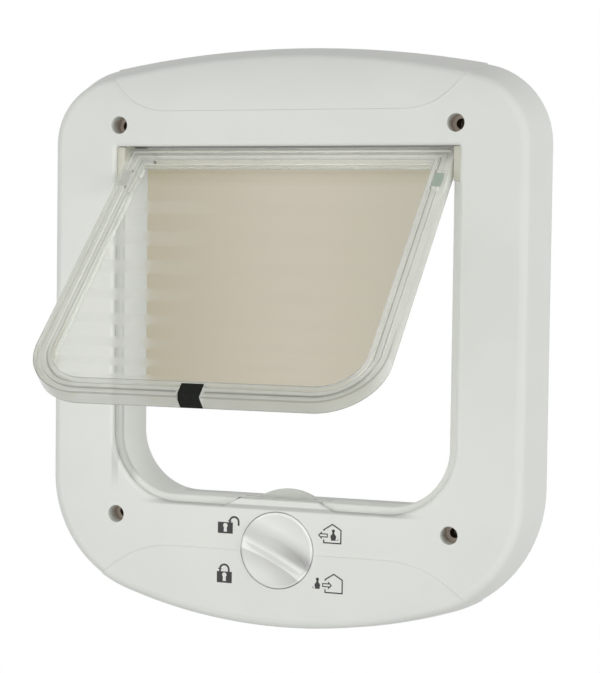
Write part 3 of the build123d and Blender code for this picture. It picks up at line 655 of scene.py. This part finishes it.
print_mark("mark_unlocked", padlock((-27.5, -90.9), *OPEN_BOW))
print_mark("mark_locked", padlock((-27.6, -112.4), *CLOSED_BOW))
print_mark("mark_out_only", house((21.3, -92.0)) + arrow((18.7, -88.9), -1) + animal((25.6, -90.9), 1))
print_mark("mark_in_only", house((22.3, -113.2)) + arrow((25.4, -110.1), 1) + animal((18.8, -111.9), -1))


# Camera


def place_camera():
    """The photographer's place, to the right of the flap, with a long lens."""
    lens = bpy.data.cameras.new("view_from_room")
    lens.sensor_width = 36.0
    lens.lens = 106.98
    lens.clip_start = 0.01
    lens.clip_end = 50.0
    camera = bpy.data.objects.new("view_from_room", lens)
    right = Vector((0.93680, 0.34963, 0.01299))
    up = Vector((-0.02938, 0.04163, 0.99870))
    back = Vector((0.34863, -0.93596, 0.04927))
    stand = Vector((0.305702, -0.813636, 0.037277))
    turn = Matrix((right, up, back)).transposed().to_4x4()
    camera.matrix_world = Matrix.Translation(stand) @ turn
    scene.collection.objects.link(camera)
    scene.camera = camera


# Floor, backdrop and light, sizes and places in m


def sheet(name, finish, draw, **sizes):
    """A flat piece in the shape that the draw operator makes."""
    mesh = bpy.data.meshes.new(name)
    shape = bmesh.new()
    draw(shape, **sizes)
    shape.to_mesh(mesh)
    shape.free()
    mesh.materials.append(finish)
    piece = bpy.data.objects.new(name, mesh)
    scene.collection.objects.link(piece)
    return piece


def seen_rays(make):
    """1 where a surface is looked at, straight, mirrored or through the flap, and 0 where it gives light."""
    path = make.node("ShaderNodeLightPath", out="Is Camera Ray")
    return path | path.beside("Is Glossy Ray") | path.beside("Is Transmission Ray")


def lay_floor():
    """White paper that glows a little where it is seen."""
    material, make = new_finish("floor_paper")
    fibre = make.noise(make.place(), scale=220.0, detail=3.0)
    paper = make.tint(fibre, (0.80, 0.80, 0.79), (0.84, 0.84, 0.83))
    glow = make.tint(seen_rays(make), (0.0, 0.0, 0.0), (0.42, 0.42, 0.415))
    make.finish(make.principled({
        "Base Color": paper, "Roughness": 0.9, "Emission Color": glow, "Emission Strength": 1.0}))
    floor = sheet("floor", material, bmesh.ops.create_circle, cap_ends=True, radius=0.7, segments=96)
    floor.location = (0.0, 0.4, -0.45)


# The wall's tones from left to right, lightest in the middle and darkest on the left, and where one tone
# goes over into the next
WALL_LEFT, WALL_MIDDLE, WALL_RIGHT = (0.432, 0.386, 0.272), (0.573, 0.515, 0.414), (0.508, 0.470, 0.366)
LEFT_TO_MIDDLE = (-0.16, 0.00)
MIDDLE_TO_RIGHT = (0.00, 0.10)


def hang_room_wall():
    """Warm wall beyond the doorway, which shows only through the clear flap."""
    material, make = new_finish("room_wall_tones")
    x = make.node("ShaderNodeSeparateXYZ", None, {"Vector": make.place()}, out="X")
    wall_tone = make.tint(make.step(x, *LEFT_TO_MIDDLE), WALL_LEFT, WALL_MIDDLE)
    wall_tone = make.tint(make.step(x, *MIDDLE_TO_RIGHT), wall_tone, WALL_RIGHT)
    make.finish(make.node("ShaderNodeEmission", None, {"Color": wall_tone, "Strength": 1.0}))
    wall = sheet("room_wall", material, bmesh.ops.create_grid, x_segments=1, y_segments=1, size=0.5)
    wall.matrix_world = Matrix.Translation((-0.22, 0.6, 0.0)) @ UPRIGHT
    wall.visible_camera = False
    wall.visible_diffuse = False
    wall.visible_glossy = False
    wall.visible_shadow = False


# Spots of painted shade in the fixing holes: their share of the hole's radius, and their depth in mm
SPOT_FIT = 0.98
SPOT_DEPTH = -1.5


def place_hole_shade_spots():
    """Dark brown spots in the fixing holes, which show only through them: painted shade, the backdrop as it
    looks in the holes' shadow.
    """
    material, make = new_finish("door_wood")
    grain = make.noise(make.place(), scale=900.0, detail=3.0)
    shaded_brown = make.tint(grain, (0.10, 0.065, 0.035), (0.16, 0.11, 0.065))
    make.finish(make.principled({"Base Color": shaded_brown, "Roughness": 0.8}))
    for number, (side, rise) in enumerate(((-1, 1), (1, 1), (-1, -1), (1, -1)), 1):
        spot = sheet(f"door_{number}", material, bmesh.ops.create_circle, cap_ends=True,
                     radius=screws["hole_r_mm"] * SPOT_FIT * MM, segments=32)
        middle = Vector((side * hole_x, SPOT_DEPTH, rise * hole_z)) * MM
        spot.matrix_world = Matrix.Translation(middle) @ UPRIGHT


# Strength of the white surroundings as light; where they are seen they are full white
SKY_FILL = 0.32

# Softboxes: name, place and size in m, and power in W
SOFTBOXES = (
    ("front_softbox", (0.00, -4.00, 0.00), 2.4, 30.0),
    ("left_softbox", (-2.60, -3.05, 0.00), 2.2, 26.0),
    ("right_softbox", (3.88, -0.97, 0.00), 2.2, 68.0),
    ("top_softbox", (0.00, -3.00, 2.65), 2.2, 18.0),
    ("low_softbox", (0.00, -3.28, -2.29), 1.9, 18.0),
    ("rear_softbox", (1.80, 3.40, 0.60), 2.2, 14.0),
)


def light_studio():
    """White surroundings and softboxes that face the part."""
    world = bpy.data.worlds.new("studio")
    world.use_nodes = True
    scene.world = world
    make = Nodes(world.node_tree)
    strength = SKY_FILL + seen_rays(make) * (1.0 - SKY_FILL)
    sky = make.node("ShaderNodeBackground", None, {"Color": (1.0, 1.0, 1.0), "Strength": strength})
    make.node("ShaderNodeOutputWorld", None, {"Surface": sky})
    for name, place, size, power in SOFTBOXES:
        lamp = bpy.data.lights.new(name, "AREA")
        lamp.shape = "SQUARE"
        lamp.size = size
        lamp.energy = power
        softbox = bpy.data.objects.new(name, lamp)
        softbox.location = place
        softbox.rotation_euler = (-Vector(place)).to_track_quat("-Z", "Y").to_euler()
        softbox.visible_camera = False
        softbox.visible_transmission = False
        scene.collection.objects.link(softbox)


place_camera()
lay_floor()
place_hole_shade_spots()
hang_room_wall()
light_studio()
frame["nodes"]["flap_panel"].visible_shadow = False

scene.view_settings.view_transform = "Standard"
